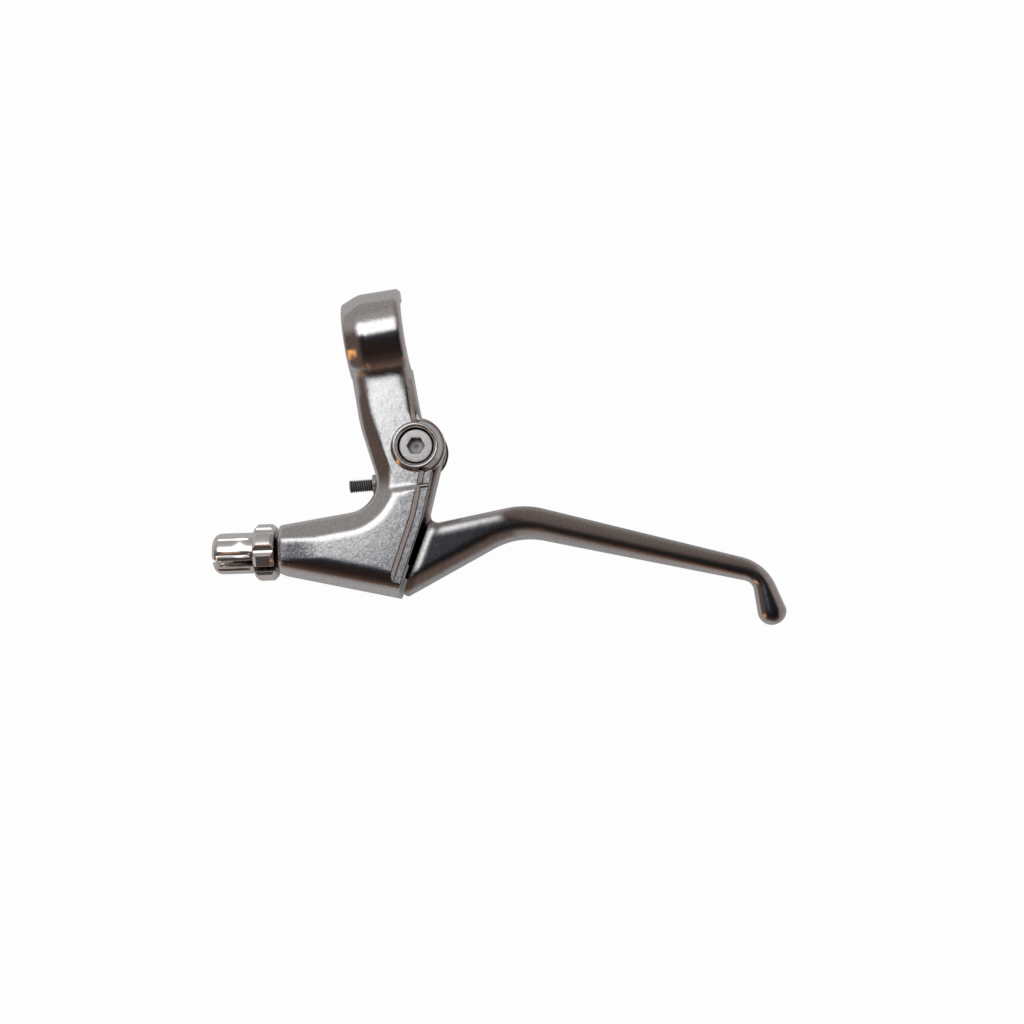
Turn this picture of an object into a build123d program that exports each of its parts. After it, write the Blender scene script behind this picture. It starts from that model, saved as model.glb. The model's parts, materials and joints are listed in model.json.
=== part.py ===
import os
from math import atan2, cos, degrees, radians, sin, tan

from build123d import *

os.makedirs("parts", exist_ok=True)

# A flat-bar brake lever for a linear-pull brake. The origin is the centre of the handlebar
# clamp: +X runs along the bar, +Y points back to the rider, +Z is square to the lever's plane.

# Handlebar clamp
bar_diameter = 22.2
band_wall = 4.0
band_width = 18.8
band_bevel_width = 5.5
band_bevel_depth = 2.4
band_bevel_round = 8.0
band_edge_round = 0.9
strap_width = 11.0
strap_taper_height = 9.0
clamp_bolt_reach = 19.5
clamp_slit = 2.0
clamp_slit_top = 4.0
ear_thickness = 7.5
ear_margin = 1.2

# Pivot and cheeks
pivot_x = 7.8
pivot_y = -36.4
lever_thickness = 8.0
flange_thickness = 0.5
side_play = 0.1
cheek_wall = 4.8
panel_rise = 1.3
boss_rise = 1.4
boss_radius = 8.9
rim_radius = 7.0
rim_flare = 0.8
boss_upper_fillet = 12.0
boss_lower_fillet = 4.0
low_boss_radius = 8.2
swing_clearance = 1.0

# Plan of the neck and the arm
waist_in = 0.6
waist_y = -27.0
waist_out = 0.5
waist_radius = 40.0
corner_x = -4.6
corner_radius = 9.75
arm_edge_y = -53.0
arm_end_high = 7.71
arm_end_low = 6.76
arm_end_spare = 2.0
arm_end_round = 1.2
arm_fall = 1.5
arm_fall_run = 15.0
mouth_top_x = 6.6
mouth_top_y = -59.0
mouth_low_x = -4.8
mouth_low_y = -81.6
cheek_top_x = 11.6
cheek_top_y = -45.3

slot_left_x = -4.2
slot_left_y = -50.0
cavity_left_x = -12.0
cavity_top_y = -60.0
cavity_low_y = -71.0
cavity_floor_y = -76.0

# Bevels of the casting
bevel_drop = 4.8
neck_bevel = 5.8
corner_bevel = 10.2
arm_bevel = 5.8
arm_low_bevel = 3.6
crease_radius = 17.0
under_bevel_drop = 4.0
under_bevel = 3.5
panel_round = 3.5
panel_low_round = 7.0
under_round = 1.5
side_round = 2.0
band_fillet = 5.5
step_y = -48.2
step_slope = 54.0
right_bevel = 2.3
right_bevel_drop = 1.4
ledge_width = 2.6
ledge_depth = 0.9
ledge_slope = 55.0

# Cable line and barrel adjuster
cable_pull = 30.7
cable_angle = 7.0
arm_reach = 43.7
adjuster_thread = 10.0
thread_depth = 14.0
thread_engaged = 11.0
thread_clearance = 0.05
barrel_diameter = 12.8
barrel_length = 13.4
barrel_dome = 2.9
dome_steps = 3
barrel_flutes = 8
flute_radius = 0.8
ring_diameter = 17.8
ring_length = 6.6
ring_gap = 1.5
ring_flutes = 8
ring_flute_radius = 2.4
ring_flute_depth = 0.9
ring_chamfer = 1.1
cable_slot = 2.2
ferrule_diameter = 6.1
ferrule_depth = 9.0
flute_rise = 0.35
flute_land = 0.8
adjuster_slot_angle = -35.0
ring_slot_angle = -43.0

# Reach screw
reach_diameter = 4.0
reach_length = 12.0
reach_out_x = -15.3
reach_out_y = -44.6
reach_angle = 4.4
reach_lug_radius = 3.2
reach_lug_length = 1.6
reach_lug_start = 7.4
reach_hex = 2.0
reach_hex_depth = 2.5

# Pivot fasteners
bolt_diameter = 6.0
bolt_head_diameter = 10.4
bolt_head_height = 3.4
bolt_head_sunk = 1.2
bolt_hex = 5.0
bolt_hex_depth = 2.6
bolt_turn = -9.0
head_clearance = 0.5
run_clearance = 0.05
rim_chamfer = 0.6
bush_wall = 1.0
bush_length = 3.4
bush_flange_radius = 6.0
washer_diameter = 17.0
washer_thickness = 1.5
nut_hex = 10.0
nut_height = 5.0
nut_taper = 30.0
bolt_tail = 0.6
bolt_edge = 0.5

# Clamp bolt
clamp_bolt_diameter = 5.0
clamp_head_diameter = 8.5
clamp_head_height = 5.0
clamp_head_sunk = 4.0
clamp_hex = 4.0
clamp_hex_depth = 2.5
clamp_bolt_length = 13.0
clamp_thread_depth = 9.0
clamp_hole_clearance = 0.25

# Lever blade
lever_boss_radius = 8.0
mouth_gap_top = 1.8
mouth_gap_low = 0.9
mouth_round = 0.8
web_half = 7.0
tip_half = 4.3
knee_x = 38.2
knee_y = -58.9
web_top_x = 11.0
web_top_y = -60.5
knee_radius = 25.0
knee_low_radius = 23.0
blade_angle = 22.65
blade_length = 76.4
blade_depth_root = 9.6
blade_depth_tip = 6.4
hook_radius = 4.3
hook_drop = 14.9
hook_outer_radius = 15.0
hook_inner_radius = 3.5
blade_round = 2.9
blade_bevel_level = 2.8
blade_bevel_slope = 45.0
ridge_root = 5.8
ridge_tip = 4.2
crown_slope = 10.0
crown_spare = 1.2
crown_drop = 3.2
hook_shift = -0.3
web_low_angle = 20.4
reach_play = 0.4
stop_half = 2.6
arm_lean = 21.8
throat_radius = 3.0
nipple_back = 6.2
nipple_diameter = 7.2
nipple_wall = 2.6

# Worked-out places
bar_radius = bar_diameter / 2
band_radius = bar_radius + band_wall
waist_x = waist_in - band_width / 2
waist_right_x = waist_out + band_width / 2
half_lever = lever_thickness / 2
slot_half = half_lever + flange_thickness + side_play
neck_top = slot_half + cheek_wall
neck_bottom = -neck_top
panel_top = neck_top + panel_rise
boss_top = neck_top + boss_rise
side_level = panel_top - bevel_drop
under_level = neck_bottom + under_bevel_drop
far = 4 * band_radius
tiny = 0.01
cable_out = Vector(-cos(radians(cable_angle)), sin(radians(cable_angle)), 0)
cable_side = Vector(-sin(radians(cable_angle)), -cos(radians(cable_angle)), 0)
pivot = Vector(pivot_x, pivot_y, 0)
cable_foot = pivot + cable_side * cable_pull
arm_end = cable_foot + cable_out * arm_reach
cable_plane = Plane(origin=arm_end, x_dir=cable_out, z_dir=(0, 0, 1))
end_plane = Plane(origin=arm_end, x_dir=(0, 0, 1), z_dir=cable_out)
arm_plane = Plane(origin=arm_end, x_dir=cable_out, z_dir=cable_side * -1)
cable_axis = Axis(arm_end, cable_out)
mouth_angle = degrees(atan2(mouth_top_y - mouth_low_y, mouth_top_x - mouth_low_x))
mouth_run = Vector(cos(radians(mouth_angle)), sin(radians(mouth_angle)), 0)
mouth_right = Vector(sin(radians(mouth_angle)), -cos(radians(mouth_angle)), 0)
mouth_low = Vector(mouth_low_x, mouth_low_y, 0)
mouth_top = Vector(mouth_top_x, mouth_top_y, 0)
arm_far_x = arm_end.X - arm_end_spare
arm_far_top = arm_end.Y + arm_end_high
arm_far_low = arm_end.Y - arm_end_low
clamp_bolt_y = -clamp_bolt_reach
ear_radius = strap_width / 2
ear_top = -clamp_slit_top - clamp_slit
ear_bottom = ear_top - ear_thickness
ear_end_y = clamp_bolt_y - ear_radius - ear_margin
reach_in = Vector(cos(radians(reach_angle)), -sin(radians(reach_angle)), 0)
reach_start = Vector(reach_out_x, reach_out_y, 0)
reach_plane = Plane(origin=reach_start, x_dir=(0, 0, 1), z_dir=reach_in)
head_floor = boss_top - bolt_head_sunk - bolt_head_height
seat_radius = bolt_head_diameter / 2 + head_clearance
pivot_plane = Plane(origin=pivot, x_dir=(1, 0, 0), z_dir=(0, -1, 0))
pivot_axis = Axis(pivot, (0, 0, 1))
swing_radius = lever_boss_radius + swing_clearance
reach_tip = reach_start + reach_in * reach_length
nipple = cable_foot + cable_out * nipple_back
nipple_radius = nipple_diameter / 2
tongue_radius = nipple_radius + nipple_wall
bush_radius = bolt_diameter / 2 + run_clearance + bush_wall
stop_x = reach_tip.X + reach_play
arm_tangent = pivot + Vector(cos(radians(arm_lean)), -sin(radians(arm_lean)), 0) * lever_boss_radius
arm_down = Vector(-sin(radians(arm_lean)), -cos(radians(arm_lean)), 0)
face_low = mouth_low + mouth_right * mouth_gap_low
face_top = mouth_top + mouth_right * mouth_gap_top
knee = Vector(knee_x, knee_y, 0)
blade_run = Vector(cos(radians(blade_angle)), -sin(radians(blade_angle)), 0)
blade_down = Vector(-sin(radians(blade_angle)), -cos(radians(blade_angle)), 0)
hook_corner = knee + blade_run * blade_length
hook_centre = hook_corner + Vector(hook_shift, -hook_drop, 0)
low_root = knee + blade_down * blade_depth_root
low_tip = hook_corner + blade_down * blade_depth_tip
web_low_run = Vector(cos(radians(web_low_angle)), sin(radians(web_low_angle)), 0)
lever_end_x = hook_centre.X + hook_radius
crown_reach = ridge_root + crown_spare
lever_slope = (web_half - tip_half) / (lever_end_x - face_low.X)


def point(vector):
    return (vector.X, vector.Y)


def crossing(start, run, other, other_run):
    """Point where two straight lines in the lever's plane cross."""
    across = run.X * other_run.Y - run.Y * other_run.X
    gap = other - start
    return start + run * ((gap.X * other_run.Y - gap.Y * other_run.X) / across)


def hexagon(across_flats):
    """Circumscribed radius of a hexagon of this size across its flats."""
    return across_flats / 2 / cos(radians(30))


def cheek_plan(level, band_x, waist, corner, arm_in, low_in, radius):
    """Plan of the neck and the arm at one height, with its rounded inner corner."""
    low = mouth_low + mouth_run * (low_in / mouth_run.Y)
    inner = (corner, arm_edge_y - arm_in)
    with BuildSketch(Plane.XY.offset(level)) as plan:
        with BuildLine():
            Polyline(
                (band_x, 0),
                (waist, waist_y),
                inner,
                (arm_far_x, arm_far_top - arm_in),
                (arm_far_x, arm_far_low + low_in),
                point(low),
                point(mouth_top),
                (cheek_top_x, cheek_top_y),
                (waist_right_x, waist_y),
                (band_width / 2, -bar_radius),
                (band_width / 2, 0),
                close=True,
            )
        make_face()
        fillet(plan.vertices().sort_by_distance((*inner, 0))[0], radius)
        fillet(plan.vertices().sort_by_distance((waist, waist_y, 0))[0], waist_radius)
    return plan.sketch


def right_edge_strip(level, y_low, y_high, inset):
    """Plan of a strip along the right edge of the upper cheek, from one height up to another."""
    low = mouth_low - mouth_right * inset + mouth_run * ((y_low - mouth_low_y) / mouth_run.Y)
    top = mouth_top - mouth_right * inset
    lean = (cheek_top_x - mouth_top_x) / (cheek_top_y - mouth_top_y)
    with BuildSketch(Plane.XY.offset(level)) as strip:
        with BuildLine():
            if y_low < mouth_top_y:
                Polyline(
                    point(low),
                    point(top),
                    (top.X + lean * (y_high - top.Y), y_high),
                    (far, y_high),
                    (far, low.Y),
                    close=True,
                )
            else:
                Polyline(
                    (top.X + lean * (y_low - top.Y), y_low),
                    (top.X + lean * (y_high - top.Y), y_high),
                    (far, y_high),
                    (far, y_low),
                    close=True,
                )
        make_face()
    return strip.sketch


def right_edge_x(y):
    """Place of the right edge of the neck and the mouth at one distance from the bar."""
    edge = ((-bar_radius, band_width / 2), (waist_y, waist_right_x), (cheek_top_y, cheek_top_x))
    edge += ((mouth_top_y, mouth_top_x), (mouth_low_y, mouth_low_x))
    for (high, high_x), (low, low_x) in zip(edge, edge[1:]):
        if y >= low:
            return high_x + (low_x - high_x) * (high - y) / (high - low)
    return mouth_low_x


def bevel_edges(part, level):
    """Long edges of the bevels at one height, without the right edge and the two ends."""
    at_level = part.edges().filter_by_position(Axis.Z, level - tiny, level + tiny)
    middles = [(edge, edge.center()) for edge in at_level.sort_by(Axis.Y)]
    return [
        edge
        for edge, middle in middles
        if arm_far_x + tiny < middle.X < right_edge_x(middle.Y) - tiny and middle.Y < -tiny
    ]


# Handlebar band: a turned ring with one bevelled side, drawn in to a narrow strap underneath
with BuildPart() as band:
    with BuildSketch(Plane.XY) as band_section:
        with BuildLine():
            Polyline(
                (-band_width / 2, bar_radius),
                (-band_width / 2, band_radius - band_bevel_depth),
                (-band_width / 2 + band_bevel_width, band_radius),
                (band_width / 2 - band_edge_round, band_radius),
                (band_width / 2, band_radius - band_edge_round),
                (band_width / 2, bar_radius),
                close=True,
            )
        make_face()
        bevel_corner = (-band_width / 2 + band_bevel_width, band_radius, 0)
        fillet(band_section.vertices().sort_by_distance(bevel_corner)[0], band_bevel_round)
        side_corner = (-band_width / 2, band_radius - band_bevel_depth, 0)
        fillet(band_section.vertices().sort_by_distance(side_corner)[0], band_edge_round)
    revolve(axis=Axis.X)
    with BuildSketch(Plane.XZ):
        with BuildLine():
            Polyline(
                (-band_width / 2, far),
                (-band_width / 2, 0),
                (-strap_width / 2, -strap_taper_height),
                (-strap_width / 2, -far),
                (strap_width / 2, -far),
                (strap_width / 2, -strap_taper_height),
                (band_width / 2, 0),
                (band_width / 2, far),
                close=True,
            )
        make_face()
    extrude(amount=far, both=True, mode=Mode.INTERSECT)

# Bracket casting
outline = cheek_plan(side_level, -band_width / 2, waist_x, corner_x, 0, 0, corner_radius)
crease = cheek_plan(
    panel_top,
    -band_width / 2 + band_bevel_width,
    waist_x + neck_bevel,
    corner_x + corner_bevel,
    arm_bevel,
    arm_low_bevel,
    crease_radius,
)
low_outline = cheek_plan(under_level, -band_width / 2, waist_x, corner_x, 0, 0, corner_radius)
low_crease = cheek_plan(
    neck_bottom,
    -band_width / 2 + under_bevel,
    waist_x + under_bevel,
    corner_x + under_bevel,
    under_bevel,
    under_bevel,
    corner_radius + under_bevel,
)

with BuildPart() as bracket:
    extrude(low_outline, amount=side_level - under_level)
    loft([outline, crease], ruled=True)
    loft([low_outline, low_crease], ruled=True)
    fillet(bevel_edges(bracket, panel_top)[1:], panel_round)
    fillet(bevel_edges(bracket, panel_top)[:1], panel_low_round)
    fillet(bevel_edges(bracket, side_level), side_round)
    fillet(bevel_edges(bracket, under_level), side_round)
    fillet(bevel_edges(bracket, neck_bottom), under_round)

    # The neck's face lies lower than the arm's panel and meets it in a sloping step
    with BuildSketch(Plane.XY.offset(neck_top)):
        with Locations((0, step_y)):
            Rectangle(2 * far, 2 * far, align=(Align.CENTER, Align.MIN))
    extrude(amount=2 * panel_rise, taper=-step_slope, mode=Mode.SUBTRACT)

    # A lowered ledge follows the mouth and the right edge of the upper cheek
    ledge_inset = ledge_width + ledge_depth * tan(radians(ledge_slope))
    panel_ledge = right_edge_strip(panel_top, mouth_low_y - far, step_y, ledge_inset)
    extrude(panel_ledge, amount=-ledge_depth, taper=ledge_slope, mode=Mode.SUBTRACT)
    neck_ledge = right_edge_strip(neck_top, step_y - ledge_inset, pivot_y, ledge_inset)
    extrude(neck_ledge, amount=-ledge_depth, taper=ledge_slope, mode=Mode.SUBTRACT)

    # A bevel runs down the right edge of the neck, from the band to the boss
    with BuildSketch(Plane.XZ):
        with BuildLine():
            Polyline(
                (waist_right_x - right_bevel, neck_top),
                (waist_right_x, neck_top - right_bevel_drop),
                (far, neck_top - right_bevel_drop),
                (far, neck_top),
                close=True,
            )
        make_face()
    extrude(amount=-pivot_y, mode=Mode.SUBTRACT)

    # The neck's underside stands clear of the clamp's ear
    with BuildSketch(Plane.XY.offset(-clamp_slit_top)):
        with Locations((0, ear_end_y)):
            Rectangle(2 * far, 2 * far, align=(Align.CENTER, Align.MIN))
    extrude(amount=-far, mode=Mode.SUBTRACT)

    # Pivot bosses, with a raised rim round the bolt head
    with BuildSketch(Plane.XY) as boss_plan:
        with BuildLine():
            Polyline(
                (pivot_x, -band_radius),
                (right_edge_x(-band_radius), -band_radius),
                (cheek_top_x, cheek_top_y),
                (pivot_x, cheek_top_y),
                close=True,
            )
        make_face()
        with Locations(point(pivot)):
            Circle(boss_radius)
        joins = [v for v in boss_plan.vertices() if abs((Vector(v) - pivot).length - boss_radius) < tiny]
        lower_join, upper_join = ShapeList(joins).sort_by(Axis.X)[:2].sort_by(Axis.Y)
        fillet(upper_join, boss_upper_fillet)
        fillet(lower_join, boss_lower_fillet)
    extrude(boss_plan.sketch, amount=neck_top - ledge_depth)
    with Locations(point(pivot)):
        Cylinder(rim_radius + rim_flare, neck_top, align=(Align.CENTER, Align.CENTER, Align.MIN))
        Cylinder(low_boss_radius, neck_top, align=(Align.CENTER, Align.CENTER, Align.MAX))
    with Locations((pivot_x, pivot_y, neck_top - boss_rise)):
        Cone(
            rim_radius + 2 * rim_flare,
            rim_radius,
            2 * boss_rise,
            align=(Align.CENTER, Align.CENTER, Align.MIN),
        )

    # Lug of the reach screw
    with BuildSketch(reach_plane.offset(reach_lug_start)):
        Circle(reach_lug_radius)
    extrude(amount=reach_lug_length + cheek_wall)

    # The arm's panel falls towards the barrel end, which is cut square to the cable and rounded
    with BuildSketch(arm_plane):
        with BuildLine():
            fall = TangentArc(
                (-arm_fall_run, panel_top), (arm_end_spare, panel_top - arm_fall), tangent=(1, 0)
            )
            Polyline(fall @ 1, (arm_end_spare, far), (-arm_fall_run, far), fall @ 0)
        make_face()
    extrude(amount=far, both=True, mode=Mode.SUBTRACT)
    with BuildSketch(end_plane):
        Rectangle(2 * far, 2 * far)
    extrude(amount=far, mode=Mode.SUBTRACT)
    fillet(bracket.faces().sort_by(cable_axis)[-1].edges(), arm_end_round)

    # Band and clamp ear
    add(band.part)
    neck_edges = bracket.edges().filter_by_position(Axis.Z, neck_top - tiny, neck_top + tiny)
    fillet(neck_edges.filter_by(Axis.X).sort_by(Axis.Y)[-1], band_fillet)
    with BuildSketch(Plane.XY.offset(ear_bottom)):
        with Locations((0, clamp_bolt_y)):
            Circle(ear_radius)
            Rectangle(strap_width, clamp_bolt_reach, align=(Align.CENTER, Align.MIN))
    extrude(amount=ear_thickness)
    with BuildSketch(Plane.YZ):
        Circle(bar_radius)
    extrude(amount=far, both=True, mode=Mode.SUBTRACT)
    with BuildSketch(Plane.XY.offset(ear_top)):
        with Locations((0, ear_end_y)):
            Rectangle(2 * far, -ear_end_y, align=(Align.CENTER, Align.MIN))
    extrude(amount=clamp_slit, mode=Mode.SUBTRACT)

    # Slot for the lever, open along the mouth
    with BuildSketch(Plane.XY.offset(-slot_half)):
        with BuildLine():
            Polyline(
                (pivot_x - swing_radius, pivot_y),
                (slot_left_x, reach_tip.Y + stop_half),
                (slot_left_x, slot_left_y),
                (cavity_left_x, cavity_top_y),
                (cavity_left_x, cavity_low_y),
                (mouth_low_x, cavity_floor_y),
                (far, cavity_floor_y),
                (far, pivot_y),
                close=True,
            )
        make_face()
        with Locations(point(pivot)):
            Circle(swing_radius)
    extrude(amount=2 * slot_half, mode=Mode.SUBTRACT)

    # Seat of the pivot bolt
    with BuildSketch(pivot_plane):
        with BuildLine():
            Polyline(
                (0, head_floor),
                (seat_radius, head_floor),
                (seat_radius, boss_top - rim_chamfer),
                (seat_radius + rim_chamfer, boss_top),
                (0, boss_top),
                close=True,
            )
        make_face()
    revolve(axis=pivot_axis, mode=Mode.SUBTRACT)
    with BuildSketch(Plane.XY):
        with Locations(point(pivot)):
            Circle(bolt_diameter / 2 + run_clearance)
    extrude(amount=far, both=True, mode=Mode.SUBTRACT)

    # Threaded bore for the barrel adjuster, the cable's way and its slot underneath
    with BuildSketch(end_plane):
        Circle(adjuster_thread / 2)
    extrude(amount=-thread_depth, mode=Mode.SUBTRACT)
    with BuildSketch(end_plane):
        Circle(cable_slot / 2)
    extrude(amount=-arm_reach, mode=Mode.SUBTRACT)
    with BuildSketch(cable_plane):
        Rectangle(arm_reach, cable_slot, align=(Align.MAX, Align.CENTER))
    extrude(amount=-far, mode=Mode.SUBTRACT)

    # Threaded hole of the reach screw
    with BuildSketch(reach_plane):
        Circle(reach_diameter / 2 + thread_clearance)
    extrude(amount=slot_left_x - reach_out_x + reach_diameter, mode=Mode.SUBTRACT)

    # Clamp bolt: clear through the ear, threaded in the neck
    with BuildSketch(Plane.XY.offset(ear_bottom)):
        with Locations((0, clamp_bolt_y)):
            Circle(clamp_head_diameter / 2 + clamp_hole_clearance)
    extrude(amount=clamp_head_sunk, mode=Mode.SUBTRACT)
    with BuildSketch(Plane.XY.offset(ear_bottom)):
        with Locations((0, clamp_bolt_y)):
            Circle(clamp_bolt_diameter / 2 + clamp_hole_clearance)
    extrude(amount=ear_thickness, mode=Mode.SUBTRACT)
    with BuildSketch(Plane.XY.offset(-clamp_slit_top)):
        with Locations((0, clamp_bolt_y)):
            Circle(clamp_bolt_diameter / 2 + thread_clearance)
    extrude(amount=clamp_thread_depth, mode=Mode.SUBTRACT)

bracket.part.label = "bracket"
export_step(bracket.part, "parts/bracket.step")


# Lever: the blade and its root web, tapered in depth towards the hooked end
low_run = low_tip - low_root
knee_low = crossing(face_low, web_low_run, low_root, low_run)
hook_inner = crossing(hook_centre - Vector(hook_radius, 0, 0), Vector(0, 1, 0), low_root, low_run)
web_top = Vector(web_top_x, web_top_y, 0)
web_run = (knee - web_top).normalized()
throat = crossing(arm_tangent, arm_down, web_top, web_run)
with BuildPart() as lever:
    with BuildSketch(Plane.XY) as blade_plan:
        with BuildLine():
            outer = Polyline(
                (lever_end_x, hook_centre.Y),
                point(hook_corner),
                point(knee),
                point(web_top),
                point(face_top),
                point(face_low),
                point(knee_low),
                point(hook_inner),
                (hook_centre.X - hook_radius, hook_centre.Y),
            )
            ThreePointArc(outer @ 0, (hook_centre.X, hook_centre.Y - hook_radius), outer @ 1)
        make_face()
        for place, radius in (
            (hook_corner, hook_outer_radius),
            (knee, knee_radius),
            (knee_low, knee_low_radius),
            (hook_inner, hook_inner_radius),
        ):
            fillet(blade_plan.vertices().sort_by_distance(place)[0], radius)
    extrude(amount=web_half, both=True)
    with BuildSketch(Plane.XZ):
        with BuildLine():
            Polyline(
                (face_low.X, web_half),
                (face_low.X, -web_half),
                (lever_end_x, -tip_half),
                (lever_end_x, tip_half),
                close=True,
            )
        make_face()
    extrude(amount=2 * far, both=True, mode=Mode.INTERSECT)
    top_face = lever.faces().sort_by(Axis.Z)[-1]
    low_face = lever.faces().sort_by(Axis.Z)[0]
    rims = ShapeList(top_face.edges() + low_face.edges())
    mouth_edges = rims.sort_by(Axis(face_low, mouth_right * -1))[-2:]
    fillet([edge for edge in rims if edge not in mouth_edges], blade_round)
    mouth_face = lever.faces().sort_by(Axis(face_low, mouth_right * -1))[-1]
    mouth_rims = mouth_face.edges().filter_by(GeomType.LINE).sort_by(Axis.Z)
    fillet([mouth_rims[0], mouth_rims[-1]], mouth_round)

    # Above and below, the blade falls from a ridge towards the rider, and its lower edge is bevelled
    for side in (1, -1):
        ridge = [
            Vector(spot.X, spot.Y, side * (web_half - lever_slope * (spot.X - face_low.X)))
            for spot in (knee + blade_down * ridge_root, hook_corner + blade_down * ridge_tip)
        ]
        ridge_run = ridge[1] - ridge[0]
        ridge_up = Vector(-ridge_run.Y, ridge_run.X, 0)
        with BuildSketch(Plane(origin=ridge[0], x_dir=ridge_up, z_dir=ridge_run * side)):
            with BuildLine():
                crown = TangentArc(
                    (0, 0),
                    (crown_reach, -crown_drop),
                    tangent=(cos(radians(crown_slope)), -sin(radians(crown_slope))),
                )
                Polyline(crown @ 1, (crown_reach, web_half), (0, web_half), crown @ 0)
            make_face()
        extrude(amount=2 * blade_length, both=True, mode=Mode.SUBTRACT)
        with BuildSketch(Plane.XY.offset(side * blade_bevel_level)) as low_side:
            with BuildLine():
                Polyline(
                    point(face_low - web_low_run * far),
                    point(knee_low),
                    point(hook_inner),
                    (hook_inner.X, hook_centre.Y - far),
                    close=True,
                )
            make_face()
            fillet(low_side.vertices().sort_by_distance(knee_low)[0], knee_low_radius)
            fillet(low_side.vertices().sort_by_distance(hook_inner)[0], hook_inner_radius)
        extrude(amount=side * web_half, taper=-blade_bevel_slope, mode=Mode.SUBTRACT)

    # Arm between the cheeks, with the pivot boss and the tongue that holds the cable's end
    with BuildSketch(Plane.XY) as arm_plan:
        with BuildLine():
            Polyline(
                (pivot_x - lever_boss_radius * cos(radians(arm_lean)), pivot_y),
                (stop_x, reach_tip.Y + stop_half),
                (stop_x, reach_tip.Y - stop_half),
                (stop_x, nipple.Y),
                (nipple.X, nipple.Y - tongue_radius),
                (web_top_x, nipple.Y - tongue_radius),
                point(web_top + web_run * throat_radius),
                point(throat),
                point(arm_tangent),
                point(pivot),
                close=True,
            )
        make_face()
        with Locations(point(pivot)):
            Circle(lever_boss_radius)
        with Locations(point(nipple)):
            Circle(tongue_radius)
        fillet(arm_plan.vertices().sort_by_distance(throat)[0], throat_radius)
    extrude(amount=half_lever, both=True)

    # Bore for the bushes, pocket for the cable's end and the slit that lets the cable in
    with BuildSketch(Plane.XY):
        with Locations(point(pivot)):
            Circle(bush_radius)
    extrude(amount=far, both=True, mode=Mode.SUBTRACT)
    with BuildSketch(Plane.XY.offset(-half_lever)):
        with Locations(point(nipple)):
            Circle(nipple_radius)
    extrude(amount=lever_thickness - nipple_wall / 2, mode=Mode.SUBTRACT)
    with BuildSketch(Plane(origin=nipple, x_dir=cable_out, z_dir=(0, 0, 1))):
        Rectangle(far, cable_slot, align=(Align.MIN, Align.CENTER))
    extrude(amount=-far, mode=Mode.SUBTRACT)
    with BuildSketch(Plane(origin=nipple, x_dir=(0, 0, 1), z_dir=cable_out)):
        Circle(cable_slot / 2)
    extrude(amount=far, mode=Mode.SUBTRACT)

lever.part.label = "lever_blade"
export_step(lever.part, "parts/lever_blade.step")

# Flanged bushes, pressed into the lever from both sides
for name, side in (("upper_pivot_bush", 1), ("lower_pivot_bush", -1)):
    seat = Plane(origin=(pivot_x, pivot_y, side * half_lever), z_dir=(0, 0, side))
    with BuildPart() as bush:
        with BuildSketch(seat):
            Circle(bush_flange_radius)
        extrude(amount=flange_thickness)
        with BuildSketch(seat):
            Circle(bush_radius)
        extrude(amount=-bush_length)
        with BuildSketch(seat):
            Circle(bolt_diameter / 2 + run_clearance)
        extrude(amount=far, both=True, mode=Mode.SUBTRACT)
    bush.part.label = name
    export_step(bush.part, f"parts/{name}.step")

# Pivot bolt, with a hexagon socket in its low round head
bolt_end = neck_bottom - washer_thickness - nut_height - bolt_tail
with BuildPart() as pivot_bolt:
    with BuildSketch(Plane(origin=(pivot_x, pivot_y, head_floor))):
        Circle(bolt_head_diameter / 2)
    extrude(amount=bolt_head_height)
    chamfer(pivot_bolt.edges().sort_by(Axis.Z)[-1], bolt_edge)
    with BuildSketch(Plane(origin=(pivot_x, pivot_y, head_floor))):
        Circle(bolt_diameter / 2)
    extrude(amount=bolt_end - head_floor)
    chamfer(pivot_bolt.edges().sort_by(Axis.Z)[0], bolt_edge)
    with BuildSketch(Plane(origin=(pivot_x, pivot_y, head_floor + bolt_head_height))):
        RegularPolygon(hexagon(bolt_hex), 6, rotation=bolt_turn)
    extrude(amount=-bolt_hex_depth, mode=Mode.SUBTRACT)
pivot_bolt.part.label = "pivot_bolt"
export_step(pivot_bolt.part, "parts/pivot_bolt.step")

# Washer and nut under the lower cheek
washer_plane = Plane(origin=(pivot_x, pivot_y, neck_bottom), z_dir=(0, 0, -1))
with BuildPart() as pivot_washer:
    with BuildSketch(washer_plane):
        Circle(washer_diameter / 2)
        Circle(bolt_diameter / 2 + run_clearance, mode=Mode.SUBTRACT)
    extrude(amount=washer_thickness)
    chamfer(pivot_washer.edges().group_by(Axis.Z)[0].sort_by(SortBy.LENGTH)[-1], bolt_edge)
pivot_washer.part.label = "pivot_washer"
export_step(pivot_washer.part, "parts/pivot_washer.step")

with BuildPart() as pivot_nut:
    with BuildSketch(washer_plane.offset(washer_thickness)):
        RegularPolygon(hexagon(nut_hex), 6)
    extrude(amount=nut_height)
    with BuildSketch(washer_plane.offset(washer_thickness)):
        Circle(nut_hex / 2)
    extrude(amount=nut_height, taper=-nut_taper, mode=Mode.INTERSECT)
    with BuildSketch(washer_plane.offset(washer_thickness)):
        Circle(bolt_diameter / 2 + run_clearance)
    extrude(amount=nut_height, mode=Mode.SUBTRACT)
pivot_nut.part.label = "pivot_nut"
export_step(pivot_nut.part, "parts/pivot_nut.step")

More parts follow.
